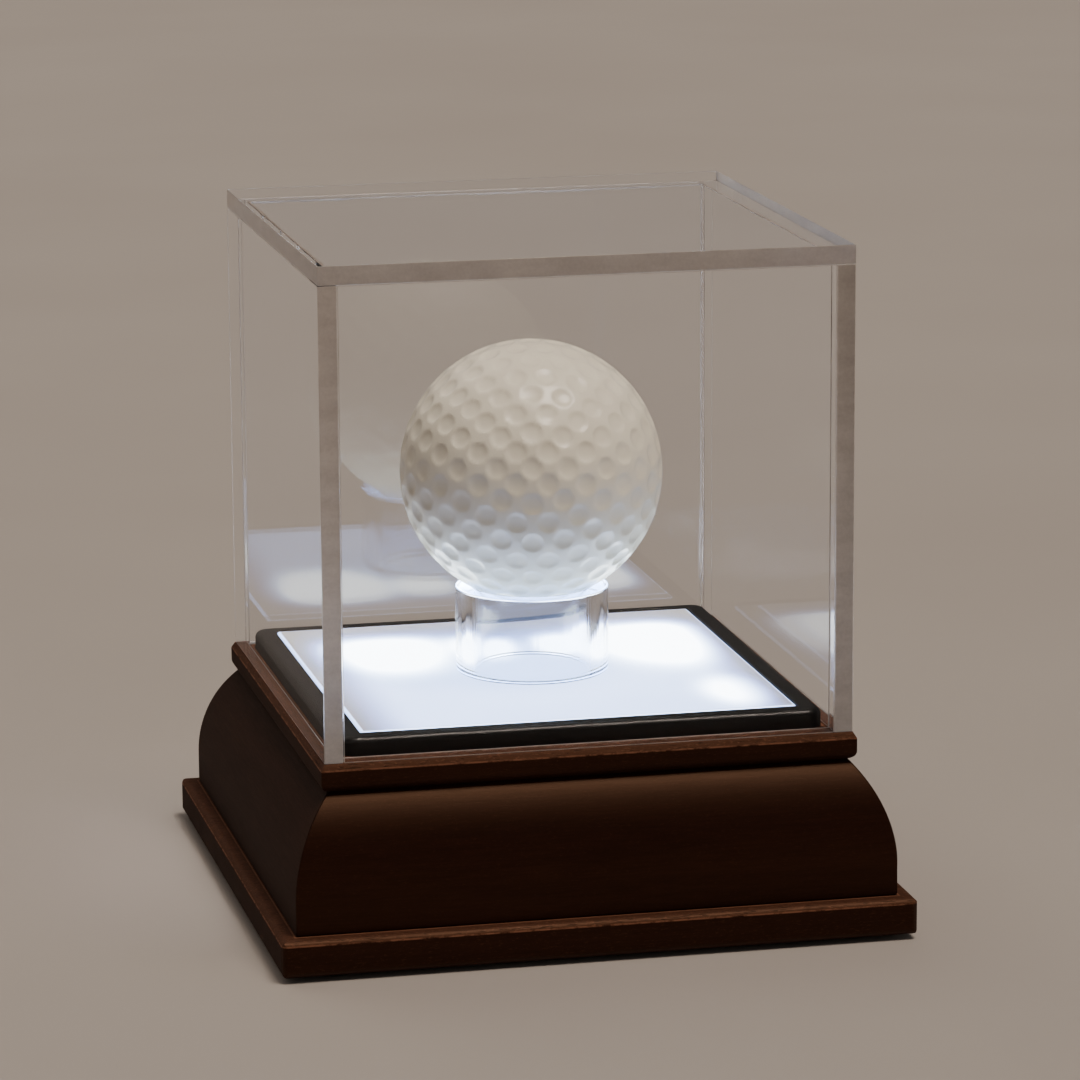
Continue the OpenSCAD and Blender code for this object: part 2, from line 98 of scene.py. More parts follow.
def add_studio():
    """A soft key from high above the front, a weak light from behind, and a dim surround
    that is brightest at the horizon."""
    world = bpy.data.worlds.new("studio")
    world.use_nodes = True
    tree = world.node_tree
    direction = put(tree, "ShaderNodeTexCoord").outputs["Generated"]
    _, _, height = axes_of(tree, direction)
    strength = maths(tree, "MULTIPLY_ADD", band(tree, height, 0.65, 0.0), 0.18, 0.08)
    background = tree.nodes["Background"]
    background.inputs["Color"].default_value = (0.96, 0.90, 0.85, 1)
    tree.links.new(strength, background.inputs["Strength"])
    bpy.context.scene.world = world
    for name, towards, strength, spread, colour in (
        ("key", (0.20, -0.23, 0.95), 1.80, 24, (1, 0.87, 0.75)),
        ("rear", (-0.35, 0.70, 0.62), 0.40, 40, (1, 0.86, 0.74)),
    ):
        data = bpy.data.lights.new(name, "SUN")
        data.energy = strength
        data.angle = math.radians(spread)
        data.color = colour
        light = bpy.data.objects.new(name, data)
        light.rotation_euler = Vector(towards).to_track_quat("Z", "Y").to_euler()
        bpy.context.scene.collection.objects.link(light)


def add_floor():
    """A plain pale floor, faintly uneven in tone."""
    material, tree, output = new_material("floor")
    point = object_point(tree)
    cloud = noise(tree, point, 7, 3.0, 0.5)
    fine = noise(tree, point, 420, 3.0, 0.6)
    colour = ramp(tree, cloud, (0.3, (0.50, 0.45, 0.41)), (0.7, (0.53, 0.48, 0.44)))
    floor = put(
        tree, "ShaderNodeBsdfPrincipled", Base_Color=colour, Roughness=0.62,
        Normal=bump(tree, fine, 0.03 * MM, 0.2),
    )
    surface(tree, output, floor)
    mesh = bpy.data.meshes.new("floor")
    reach = 6.0
    corners = [(x * reach, y * reach, cad_low.z) for x, y in ((-1, -1), (1, -1), (1, 1), (-1, 1))]
    mesh.from_pydata(corners, [], [(0, 1, 2, 3)])
    mesh.materials.append(material)
    piece = bpy.data.objects.new("floor", mesh)
    bpy.context.scene.collection.objects.link(piece)


# ---- Shader helpers ----

def put(tree, kind, attributes=None, **inputs):
    """A node whose inputs are numbers, colours or the sockets that feed them."""
    node = tree.nodes.new(kind)
    for name, value in (attributes or {}).items():
        setattr(node, name, value)
    for name, value in inputs.items():
        key = int(name[1:]) if name[0] == "_" else name.replace("_", " ")
        if isinstance(value, bpy.types.NodeSocket):
            tree.links.new(value, node.inputs[key])
        else:
            node.inputs[key].default_value = value
    return node


def maths(tree, operation, *values):
    inputs = {f"_{i}": value for i, value in enumerate(values)}
    return put(tree, "ShaderNodeMath", {"operation": operation}, **inputs).outputs[0]


def times(tree, *values):
    """The product of two or more values."""
    product = values[0]
    for value in values[1:]:
        product = maths(tree, "MULTIPLY", product, value)
    return product


def band(tree, value, start, end):
    """0 before start, 1 after end, smooth between; start may be the larger."""
    node = put(
        tree, "ShaderNodeMapRange", {"interpolation_type": "SMOOTHSTEP"},
        Value=value, From_Min=start, From_Max=end,
    )
    return node.outputs["Result"]


def between(tree, value, low, high):
    """Low where value is 0 and high where it is 1."""
    return put(tree, "ShaderNodeMapRange", Value=value, To_Min=low, To_Max=high).outputs[0]


def blend_colours(tree, share, first, second):
    node = put(tree, "ShaderNodeMix", {"data_type": "RGBA"}, _0=share)
    first_input, second_input = 6, 7
    for key, value in ((first_input, first), (second_input, second)):
        if isinstance(value, bpy.types.NodeSocket):
            tree.links.new(value, node.inputs[key])
        else:
            node.inputs[key].default_value = (*value, 1)
    return node.outputs[2]


def ramp(tree, value, *stops):
    """A colour ramp from (place, colour) stops."""
    node = put(tree, "ShaderNodeValToRGB", Fac=value)
    elements = node.color_ramp.elements
    while len(elements) < len(stops):
        elements.new(0.5)
    for element, (place, colour) in zip(elements, stops):
        element.position = place
        element.color = (*colour, 1)
    return node.outputs["Color"]


def object_point(tree):
    return put(tree, "ShaderNodeTexCoord").outputs["Object"]


def axes_of(tree, point):
    return put(tree, "ShaderNodeSeparateXYZ", Vector=point).outputs


def square_reach(tree, x, y):
    """How far out a point is, by the larger of its two coordinates."""
    return maths(tree, "MAXIMUM", maths(tree, "ABSOLUTE", x), maths(tree, "ABSOLUTE", y))


def stretch(tree, point, scale):
    return put(tree, "ShaderNodeVectorMath", {"operation": "MULTIPLY"}, _0=point, _1=scale).outputs[0]


def noise(tree, point, scale, detail=3.0, roughness=0.5, distortion=0.0):
    """Noise with so many cells a metre, the same along each axis or one number for each."""
    scales = scale if isinstance(scale, tuple) else (scale, scale, scale)
    node = put(
        tree, "ShaderNodeTexNoise",
        Vector=stretch(tree, point, scales), Scale=1.0, Detail=detail, Roughness=roughness,
        Distortion=distortion,
    )
    return node.outputs["Fac"]


def bump(tree, height, distance, strength):
    node = put(tree, "ShaderNodeBump", Height=height, Distance=distance, Strength=strength)
    return node.outputs["Normal"]


def new_material(name):
    """An empty material with its tree and its output node."""
    material = bpy.data.materials.new(name)
    material.use_nodes = True
    tree = material.node_tree
    tree.nodes.clear()
    return material, tree, tree.nodes.new("ShaderNodeOutputMaterial")


def surface(tree, output, shader):
    tree.links.new(shader.outputs[0], output.inputs["Surface"])


# ---- Materials ----

def wood_grain(tree, along):
    """Coordinates along the grain, across it and up, then plain X and Y.

    The grain runs along X, or along each rail of a mitred frame."""
    x, y, z = axes_of(tree, object_point(tree))
    if along == "x":
        return x, y, z, x, y
    side = maths(tree, "GREATER_THAN", maths(tree, "ABSOLUTE", x), maths(tree, "ABSOLUTE", y))
    keep = maths(tree, "SUBTRACT", 1.0, side)
    run = maths(tree, "ADD", times(tree, x, keep), times(tree, y, side))
    cross = maths(tree, "ADD", times(tree, y, keep), times(tree, x, side))
    return run, cross, z, x, y


def stained_wood(
    name, along, dark, light, wear_and_light, edge=None, roughness=(0.40, 0.56), pitted=1.0, seam=None,
    varnish=((0.95, 0.50, 0.28), (1.0, 0.57, 0.35)),
):
    """Stained wood with fine grain, open pores and paler upper faces, partly rubbed and partly painted
    light.

    edge is (top height, depth below it of the arris that bounds the paler upper faces), pitted is how
    open the pores are, seam is the half width of a fine pale line on top, and varnish tints the sheen."""
    material, tree, output = new_material(name)
    run, cross, z, x, y = wood_grain(tree, along)
    grain = put(tree, "ShaderNodeCombineXYZ", X=run, Y=cross, Z=z).outputs[0]
    fibre = noise(tree, grain, (160, 2600, 2600), 4.0, 0.62, 0.3)
    figure = noise(tree, grain, (14, 150, 150), 3.0, 0.55, 1.2)
    pore = band(tree, noise(tree, grain, (620, 4600, 4600), 2.0, 0.5), 0.58, 0.68)
    fleck = band(tree, noise(tree, grain, (1500, 4200, 4200), 2.0, 0.5), 0.56, 0.72)
    patchy = band(tree, noise(tree, grain, (420, 800, 800), 4.0, 0.75), 0.34, 0.58)
    tone = maths(tree, "ADD", times(tree, fibre, 0.55), times(tree, figure, 0.45))
    colour = ramp(tree, tone, (0.30, dark), (0.72, light))
    openness = pitted
    if edge:
        top, depth = edge
        arris = top - depth
        # Paler upper faces: partly rubbed wood, partly painted light from above
        upper = band(tree, z, arris - 0.12 * MM, arris + 0.12 * MM)
        rubbed_and_lit_top = times(tree, upper, maths(tree, "MULTIPLY_ADD", tone, 0.6, 0.08))
        colour = blend_colours(tree, rubbed_and_lit_top, colour, tuple(0.62 * c for c in wear_and_light))
        openness = maths(tree, "MULTIPLY_ADD", upper, 0.8 * pitted, 0.2 * pitted)
    colour = blend_colours(tree, times(tree, fleck, 0.4, openness), colour, wear_and_light)
    colour = blend_colours(tree, times(tree, pore, 0.7, openness), colour, tuple(0.4 * c for c in dark))
    if edge:
        # A fine pale line along the arris: partly wear, partly a painted highlight
        off = maths(tree, "ABSOLUTE", maths(tree, "SUBTRACT", z, arris))
        line = times(tree, band(tree, off, 0.17 * MM, 0.07 * MM), patchy, 0.85)
        colour = blend_colours(tree, line, colour, wear_and_light)
    if seam:
        reach = square_reach(tree, x, y)
        line = times(
            tree,
            band(tree, reach, seam + 0.02 * MM, seam + 0.12 * MM),
            band(tree, reach, seam + 0.42 * MM, seam + 0.25 * MM),
            maths(tree, "MULTIPLY_ADD", patchy, 0.4, 0.5),
            band(tree, z, top - 0.3 * MM, top - 0.1 * MM),
        )
        colour = blend_colours(tree, line, colour, wear_and_light)
    # A satin lacquer scatters what it would mirror at a glancing angle
    glancing = band(tree, put(tree, "ShaderNodeLayerWeight").outputs["Facing"], 0.40, 0.72)
    gloss = maths(tree, "MULTIPLY_ADD", glancing, 0.42, between(tree, tone, roughness[1], roughness[0]))
    relief = times(tree, maths(tree, "SUBTRACT", times(tree, fibre, 0.5), pore), openness)
    sheen = ramp(tree, tone, (0.3, varnish[0]), (0.7, varnish[1]))
    wood = put(
        tree, "ShaderNodeBsdfPrincipled",
        Base_Color=colour, Roughness=gloss, IOR=1.45, Specular_IOR_Level=0.4, Specular_Tint=sheen,
        Normal=bump(tree, relief, 0.05 * MM, 0.6),
    )
    surface(tree, output, wood)
    return material


def frosted_panel(name, lamps, half, top):
    """Opal acrylic lit from below: brightest over each lamp and dimmer towards the edges.

    Each lamp is (place, strength, spread), half is half of the panel's width, and top is
    the height of its upper face."""
    material, tree, output = new_material(name)
    point = object_point(tree)
    x, y, _ = axes_of(tree, point)
    spots = 0.0
    # Each pool of light is longer from front to rear than across
    squeeze = (1, 0.62, 1)
    for place, strength, spread in lamps:
        gap = put(
            tree, "ShaderNodeVectorMath", {"operation": "DISTANCE"},
            _0=stretch(tree, point, squeeze), _1=(place.x * squeeze[0], place.y * squeeze[1], top),
        ).outputs["Value"]
        fall = maths(tree, "POWER", maths(tree, "DIVIDE", gap, spread), 3.0)
        spot = maths(tree, "EXPONENT", times(tree, fall, -1.0))
        spots = maths(tree, "MULTIPLY_ADD", spot, strength, spots)
    off_rear = band(tree, y, half - 2 * MM, half - 15 * MM)
    spots = times(tree, spots, maths(tree, "POWER", off_rear, 2.0))
    cloud = noise(tree, point, 60, 2.0)
    even = times(
        tree,
        maths(tree, "MULTIPLY_ADD", cloud, 0.12, 0.94),
        4.1,
        maths(tree, "MULTIPLY_ADD", band(tree, y, half - 1 * MM, half - 22 * MM), 0.93, 0.07),
    )
    fade = band(tree, maths(tree, "ABSOLUTE", x), half + 0.6 * MM, half - 10 * MM)
    light = times(tree, maths(tree, "ADD", spots, even), fade)
    # The bevelled rim gathers the light that runs inside the panel
    reach = square_reach(tree, x, y)
    line = band(tree, reach, half - 0.8 * MM, half - 0.6 * MM)
    rim = band(tree, reach, half - 0.5 * MM, half - 0.4 * MM)
    light = times(tree, light, maths(tree, "MULTIPLY_ADD", line, -0.55, 1.0))
    light = maths(tree, "MULTIPLY_ADD", rim, 4.0, light)
    tint = ramp(
        tree, times(tree, light, 0.08),
        (0.05, (0.16, 0.30, 1.0)), (0.38, (0.42, 0.60, 1.0)), (1.0, (0.84, 0.93, 1.0)),
    )
    grain = noise(tree, point, 2500, 2.0, 0.5)
    panel = put(
        tree, "ShaderNodeBsdfPrincipled",
        Base_Color=ramp(tree, grain, (0.3, (0.74, 0.78, 0.84)), (0.7, (0.84, 0.87, 0.91))),
        Roughness=between(tree, grain, 0.36, 0.5), IOR=1.49,
        Emission_Color=tint, Emission_Strength=light,
        Normal=bump(tree, grain, 0.01 * MM, 0.3),
    )
    surface(tree, output, panel)
    return material


def clear_acrylic(name, tint=(0.985, 0.99, 1.0), drawn=0.0, ior=1.49):
    """Polished clear acrylic with the faintest smears; lamps shine through it.

    drawn is how strongly upright drawing lines show, as on an extruded tube, and a lower
    ior gives flat panels the faint reflections of the real cover."""
    material, tree, output = new_material(name)
    point = object_point(tree)
    smear = noise(tree, point, (90, 60, 35), 4.0, 0.6, 0.8)
    gloss = between(tree, band(tree, smear, 0.45, 0.75), 0.0, 0.035)
    colour = ramp(tree, smear, (0.3, tint), (0.8, tuple(0.99 * c for c in tint)))
    glass = put(
        tree, "ShaderNodeBsdfPrincipled",
        Base_Color=colour, Roughness=gloss, IOR=ior, Transmission_Weight=1.0,
    )
    if drawn:
        lines = noise(tree, point, (1100, 1100, 22), 3.0, 0.65)
        tree.links.new(bump(tree, lines, 0.03 * MM, drawn), glass.inputs["Normal"])
    through = put(tree, "ShaderNodeBsdfTransparent", Color=(0.94, 0.95, 0.96, 1))
    shadow = put(tree, "ShaderNodeLightPath").outputs["Is Shadow Ray"]
    mix = put(tree, "ShaderNodeMixShader", _0=shadow, _1=glass.outputs[0], _2=through.outputs[0])
    surface(tree, output, mix)
    return material


def cut_edge(name, low, high):
    """Satin sawn edge of an acrylic panel, with fine saw marks and a faint painted glow for
    the panel's light that runs up inside and leaves here, most of it near the bottom."""
    material, tree, output = new_material(name)
    point = object_point(tree)
    _, _, z = axes_of(tree, point)
    marks = noise(tree, point, 1900, 3.0, 0.7)
    long_marks = noise(tree, point, (140, 140, 420), 3.0, 0.6)
    tone = maths(tree, "ADD", times(tree, marks, 0.4), times(tree, long_marks, 0.6))
    # The emission is a painted glow, not a lamp, strongest near the bottom
    edge = put(
        tree, "ShaderNodeBsdfPrincipled",
        Base_Color=ramp(tree, tone, (0.35, (0.47, 0.41, 0.37)), (0.65, (0.63, 0.56, 0.51))),
        Roughness=between(tree, tone, 0.30, 0.48), IOR=1.49, Transmission_Weight=0.45,
        Emission_Color=(0.88, 0.92, 1.0, 1), Emission_Strength=times(tree, band(tree, z, high, low), 0.03),
        Normal=bump(tree, tone, 0.03 * MM, 0.5),
    )
    surface(tree, output, edge)
    return material


def ball_cover(name):
    """Painted golf-ball cover: satin off-white with faint handling marks, and a painted
    warm glow in the lower half for the panel's light soaking into it."""
    material, tree, output = new_material(name)
    point = object_point(tree)
    low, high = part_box("golf_ball")
    _, _, z = axes_of(tree, point)
    # Painted light: the lower half is tinted warmer, standing in for the panel's light
    painted_underglow = times(tree, band(tree, z, (low.z + high.z) / 2, low.z), 0.8)
    cloud = noise(tree, point, 70, 3.0, 0.6)
    speck = noise(tree, point, 2300, 2.0, 0.5)
    marks = times(tree, band(tree, speck, 0.66, 0.78), 0.16)
    colour = ramp(tree, cloud, (0.3, (0.73, 0.675, 0.55)), (0.7, (0.79, 0.74, 0.61)))
    colour = blend_colours(tree, marks, colour, (0.55, 0.52, 0.45))
    colour = blend_colours(tree, painted_underglow, colour, (0.73, 0.69, 0.41))
    ball = put(
        tree, "ShaderNodeBsdfPrincipled",
        Base_Color=colour, Roughness=between(tree, cloud, 0.50, 0.62), IOR=1.46,
        Coat_Weight=0.5, Coat_Roughness=0.14, Normal=bump(tree, speck, 0.01 * MM, 0.35),
    )
    surface(tree, output, ball)
    return material


def moulded(
    name, dark, light, scale=900, roughness=(0.4, 0.6), relief=0.02, metallic=0.0, streak=(1, 1, 1),
):
    """Moulded plastic, rubber or sheet metal with a fine texture and uneven tone.

    relief is the texture's depth in millimetres, and streak stretches it along an axis."""
    material, tree, output = new_material(name)
    point = object_point(tree)
    fine = noise(tree, point, tuple(scale * share for share in streak), 3.0, 0.6)
    broad = noise(tree, point, 85, 2.0, 0.5)
    tone = maths(tree, "ADD", times(tree, fine, 0.5), times(tree, broad, 0.5))
    shader = put(
        tree, "ShaderNodeBsdfPrincipled",
        Base_Color=ramp(tree, tone, (0.33, dark), (0.67, light)),
        Roughness=between(tree, tone, *roughness), Metallic=metallic, IOR=1.5,
        Normal=bump(tree, fine, relief * MM, 0.6),
    )
    surface(tree, output, shader)
    return material


def printed_cell(name, foot, cap):
    """A cell's plastic sleeve, dark with one plain coloured band near the cap's end of X."""
    material, tree, output = new_material(name)
    point = object_point(tree)
    x, _, _ = axes_of(tree, point)
    share = put(tree, "ShaderNodeMapRange", Value=x, From_Min=foot, From_Max=cap).outputs[0]
    fine = noise(tree, point, 1500, 2.0, 0.5)
    body = ramp(tree, fine, (0.35, (0.012, 0.03, 0.075)), (0.65, (0.018, 0.042, 0.10)))
    stripe = times(tree, band(tree, share, 0.66, 0.665), band(tree, share, 0.93, 0.925))
    shader = put(
        tree, "ShaderNodeBsdfPrincipled",
        Base_Color=blend_colours(tree, stripe, body, (0.42, 0.30, 0.09)),
        Roughness=between(tree, fine, 0.24, 0.36), IOR=1.5, Coat_Weight=0.5, Coat_Roughness=0.12,
        Normal=bump(tree, fine, 0.01 * MM, 0.3),
    )
    surface(tree, output, shader)
    return material


# ---- Mesh helpers ----

def new_piece(
    name, points, faces, body, materials, replaces=(), face_slots=None, sharp=35, weighted=False,
):
    """A smooth-shaded mesh piece that rides on a body.

    Edges bent by more than sharp degrees stay sharp, and weighted keeps large faces flat."""
    mesh = bpy.data.meshes.new(name)
    mesh.from_pydata([tuple(p) for p in points], [], faces)
    for material in materials:
        mesh.materials.append(material)
    if face_slots is not None:
        mesh.polygons.foreach_set("material_index", face_slots)
    mesh.update()
    clean = bmesh.new()
    clean.from_mesh(mesh)
    bmesh.ops.recalc_face_normals(clean, faces=clean.faces)
    clean.to_mesh(mesh)
    clean.free()
    mesh.polygons.foreach_set("use_smooth", [True] * len(mesh.polygons))
    mesh.set_sharp_from_angle(angle=math.radians(sharp))
    piece = bpy.data.objects.new(name, mesh)
    bpy.context.scene.collection.objects.link(piece)
    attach(piece, body)
    if replaces:
        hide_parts(*replaces)
    if weighted:
        normals = piece.modifiers.new("normals by area", "WEIGHTED_NORMAL")
        normals.weight = 100
        normals.keep_sharp = True
    return piece


def arc(centre, radius, start, end, steps):
    """Points of an arc, angles in degrees from the outward axis towards +Z."""
    return [
        (centre[0] + radius * math.cos(math.radians(start + (end - start) * i / steps)),
         centre[1] + radius * math.sin(math.radians(start + (end - start) * i / steps)))
        for i in range(steps + 1)
    ]


def cuboid(low, high):
    """A box between two corners."""
    mesh = bmesh.new()
    bmesh.ops.create_cube(mesh, size=1)
    for vertex in mesh.verts:
        vertex.co = Vector([(low[i] + high[i]) / 2 + vertex.co[i] * (high[i] - low[i]) for i in range(3)])
    return mesh


def bevel(mesh, edges, width, segments, profile=0.5):
    bmesh.ops.bevel(mesh, geom=edges, offset=width, segments=segments, profile=profile, affect="EDGES")
    mesh.normal_update()
    mesh.verts.index_update()


def points_and_faces(mesh):
    return [v.co.copy() for v in mesh.verts], [tuple(v.index for v in f.verts) for f in mesh.faces]


def loft(rings, closed_path):
    """Faces between rings of equal length; each ring is a closed loop."""
    count = len(rings[0])
    last = len(rings) if closed_path else len(rings) - 1
    faces = []
    for k in range(last):
        a, b = k * count, (k + 1) % len(rings) * count
        for i in range(count):
            j = (i + 1) % count
            faces.append((a + i, a + j, b + j, b + i))
    return faces


def capped_loft(rings):
    """Points and faces of a loft with a face over each end."""
    points = [p for ring in rings for p in ring]
    count = len(rings[0])
    first = tuple(range(count))
    last = tuple(reversed(range(len(points) - count, len(points))))
    return points, loft(rings, False) + [first, last]


def subdivide(profile, longest):
    """The closed profile with its long straight stretches split evenly."""
    made = []
    for (x0, z0), (x1, z1) in zip(profile, profile[1:] + profile[:1]):
        parts = max(1, math.ceil(math.hypot(x1 - x0, z1 - z0) / longest))
        made += [(x0 + (x1 - x0) * i / parts, z0 + (z1 - z0) * i / parts) for i in range(parts)]
    return made


def rail_piece(name, profile, turn, material, eased=0.25 * MM, gap=0.03 * MM):
    """A straight rail with mitred ends from a profile of (outward distance, height)."""
    profile = subdivide(profile, 3 * MM)
    centre = np.array([sum(p[0] for p in profile), sum(p[1] for p in profile)]) / len(profile)
    inward = centre - np.array(profile)
    inward /= np.linalg.norm(inward, axis=1)[:, None]
    # Each station is (share of the way to a mitre, distance back from it, how far the ring shrinks)
    ends = [(eased * (1 - math.cos(a)), eased * (1 - math.sin(a))) for a in (0.0, 0.52, 1.05, 1.57)]
    parts = 14
    middle = [(-1 + 2 * i / parts, 0, 0) for i in range(1, parts)]
    stations = [(-1, *end) for end in ends] + middle + [(1, *end) for end in reversed(ends)]
    spin = Matrix.Rotation(math.radians(turn), 4, "Z")
    rings = []
    for share, back, shrink in stations:
        ring = []
        for (outward, height), pull in zip(profile, inward):
            run = share * (outward - gap - back)
            point = Vector((run, -outward - pull[0] * shrink, height + pull[1] * shrink))
            ring.append(spin @ point)
        rings.append(ring)
    points, faces = capped_loft(rings)
    return new_piece(name + "_look", points, faces, "base", [material], [name], weighted=True)


def round_square(half, radius, steps):
    """The round corners of a square, as points of (the corner's centre, the way out of it)."""
    corners = []
    for corner in range(4):
        start = math.radians(90 * corner)
        centre = Matrix.Rotation(start, 3, "Z") @ Vector((half - radius, half - radius, 0))
        for i in range(steps + 1):
            a = start + math.radians(90) * i / steps
            corners.append((centre, Vector((math.cos(a), math.sin(a), 0))))
    return corners


def framed_loop(name, profile, half, radius, body, materials, replaces, steps=8, along=10):
    """A profile of (distance inside the outer face, height) swept round a square with round corners."""
    corners = round_square(half, radius, steps)
    path = []
    for k, (centre, out) in enumerate(corners):
        path.append((centre, out))
        if (k + 1) % (steps + 1) == 0:
            following = corners[(k + 1) % len(corners)][0]
            path += [(centre.lerp(following, i / along), out) for i in range(1, along)]
    rings = []
    for centre, out in path:
        ring = []
        for inset, height in profile:
            if inset <= radius:
                p = centre + out * (radius - inset)
            else:
                # Past the corner's centre the profile keeps to the mitre line
                limit = half - inset
                p = Vector([max(-limit, min(limit, c)) for c in centre])
            ring.append((p.x, p.y, height))
        rings.append(ring)
    points = [p for ring in rings for p in ring]
    return new_piece(name, points, loft(rings, True), body, materials, replaces, weighted=True)


def lathe(name, profile, body, materials, replaces, steps=128):
    """A closed profile of (radius, height) turned about the upright axis."""
    rings = []
    for k in range(steps):
        a = 2 * math.pi * k / steps
        rings.append([(r * math.cos(a), r * math.sin(a), z) for r, z in profile])
    points = [p for ring in rings for p in ring]
    return new_piece(name, points, loft(rings, True), body, materials, replaces, weighted=True)


# ---- Wooden base ----

def add_mouldings(material):
    """Mitred rails with an upright foot below and a round face above."""
    low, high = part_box("moulding_front")
    outer, inner = -low.y, -high.y
    foot_h, face_r, foot_r = 5.1 * MM, 23 * MM, 0.35 * MM
    centre = (outer - face_r, low.z + foot_h)
    top_angle = math.degrees(math.asin((high.z - centre[1]) / face_r))
    profile = (
        [(inner, low.z)]
        + arc((outer - foot_r, low.z + foot_r), foot_r, -90, 0, 4)
        + [(outer, low.z + foot_h)]
        + arc(centre, face_r, 0, top_angle, 40)[1:]
        + [(inner, high.z)]
    )
    for name, turn in SIDES:
        rail_piece("moulding_" + name, profile, turn, material)


def add_ledges(material):
    """Mitred rails with a round lower edge and an eased bevel above."""
    low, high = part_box("ledge_front")
    outer, inner = -low.y, -high.y
    bevel_w, bevel_h, edge_r, eased = 0.6 * MM, 1.0 * MM, 1.4 * MM, 0.14 * MM
    slope = math.hypot(bevel_w, bevel_h)
    step_in, step_up = eased * bevel_w / slope, eased * bevel_h / slope
    profile = (
        [(inner, low.z)]
        + arc((outer - edge_r, low.z + edge_r), edge_r, -90, 0, 8)
        + [
            (outer, high.z - bevel_h - eased),
            (outer - 0.3 * step_in, high.z - bevel_h),
            (outer - step_in, high.z - bevel_h + step_up),
            (outer - bevel_w + step_in, high.z - step_up),
            (outer - bevel_w - 0.1 * eased, high.z - 0.15 * eased),
            (outer - bevel_w - eased, high.z),
            (inner, high.z),
        ]
    )
    for name, turn in SIDES:
        rail_piece("ledge_" + name, profile, turn, material)


def add_raised_frame(material):
    """The black frame, round outside and eased inside."""
    low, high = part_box("raised_frame")
    rail, corner_r, edge_r, inner_r = 3.4 * MM, 2.4 * MM, 1.1 * MM, 0.35 * MM
    rise = [math.radians(90) * i / 8 for i in range(9)]
    outer = [(edge_r - edge_r * math.cos(a), high.z - edge_r + edge_r * math.sin(a)) for a in rise]
    inner = [(rail - inner_r + inner_r * math.sin(a), high.z - inner_r + inner_r * math.cos(a))
             for a in rise[::2]]
    profile = [(0, low.z)] + outer + inner + [(rail, low.z)]
    framed_loop(
        "raised_frame_look", profile, high.x, corner_r, "base", [material],
        ["raised_frame"],
    )


# ---- Light ----

def lamp_places():
    """Centres of the lamps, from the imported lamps' own points."""
    groups = []
    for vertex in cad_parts["leds"].data.vertices:
        for group in groups:
            if (group[0] - vertex.co).length < 5 * MM:
                group.append(vertex.co)
                break
        else:
            groups.append([vertex.co.copy()])
    centres = [sum(group, Vector()) / len(group) for group in groups]
    return sorted(centres, key=lambda c: (round(c.y, 3) < 0, c.x))


def add_diffuser():
    """The lit panel, with its upper rim bevelled."""
    low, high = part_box("diffuser_panel")
    rim, corner = 0.4 * MM, 0.2 * MM
    strengths = (20.0, 12.0, 12.0, 26.0, 11.0)
    spreads = (8.8, 5.0, 5.0, 10.5, 5.6)
    lamps = [(place, s, r * MM) for place, s, r in zip(lamp_places(), strengths, spreads)]
    material = frosted_panel("frosted_acrylic", lamps, high.x, high.z)
    mesh = cuboid(low, high)
    bevel(mesh, [e for e in mesh.edges if all(v.co.z > high.z - rim for v in e.verts)], rim, 3, 0.45)
    bevel(mesh, [e for e in mesh.edges if abs(e.verts[0].co.z - e.verts[1].co.z) > rim], corner, 2)
    points, faces = points_and_faces(mesh)
    mesh.free()
    new_piece(
        "diffuser_panel_look", points, faces, "base", [material],
        ["diffuser_panel"], sharp=20,
    )


# ---- Cover ----

def add_cover(panels, faint, satin):
    """The five walls, faint but for those that panels gives a material of their own."""
    seam = 0.02 * MM
    face, cut, polished_cut = 0, 1, 2
    for name in ("top", "front", "rear", "left", "right"):
        low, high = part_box("cover_" + name)
        size = high - low
        thin = min(range(3), key=lambda i: size[i])
        # A hair of glue keeps each wall off the panel that it meets, and off the wood below
        if name != "top":
            low.z += seam
            high.z -= seam
        if name in ("front", "rear"):
            low.x += seam
            high.x -= seam
        mesh = cuboid(low, high)
        bevel(mesh, mesh.edges[:], 0.16 * MM, 2)
        points, faces = points_and_faces(mesh)
        # The rear cut faces, the glued faces and the feet are polished and the others satin;
        # a bevel at the rear is satin too, but for the right wall's
        to_rear = 0.5 if name == "right" else 0.99
        slots = []
        for normal in (f.normal for f in mesh.faces):
            if abs(normal[thin]) > 0.99:
                slots.append(face)
            elif normal.y > to_rear or name != "top" and abs(normal.z) > 0.5:
                slots.append(polished_cut)
            elif name in ("front", "rear") and abs(normal.x) > 0.5:
                slots.append(polished_cut)
            else:
                slots.append(cut)
        mesh.free()
        new_piece(
            f"cover_{name}_look", points, faces, "cover",
            [panels.get(name, faint), satin, faint],
            ["cover_" + name], slots, sharp=20,
        )


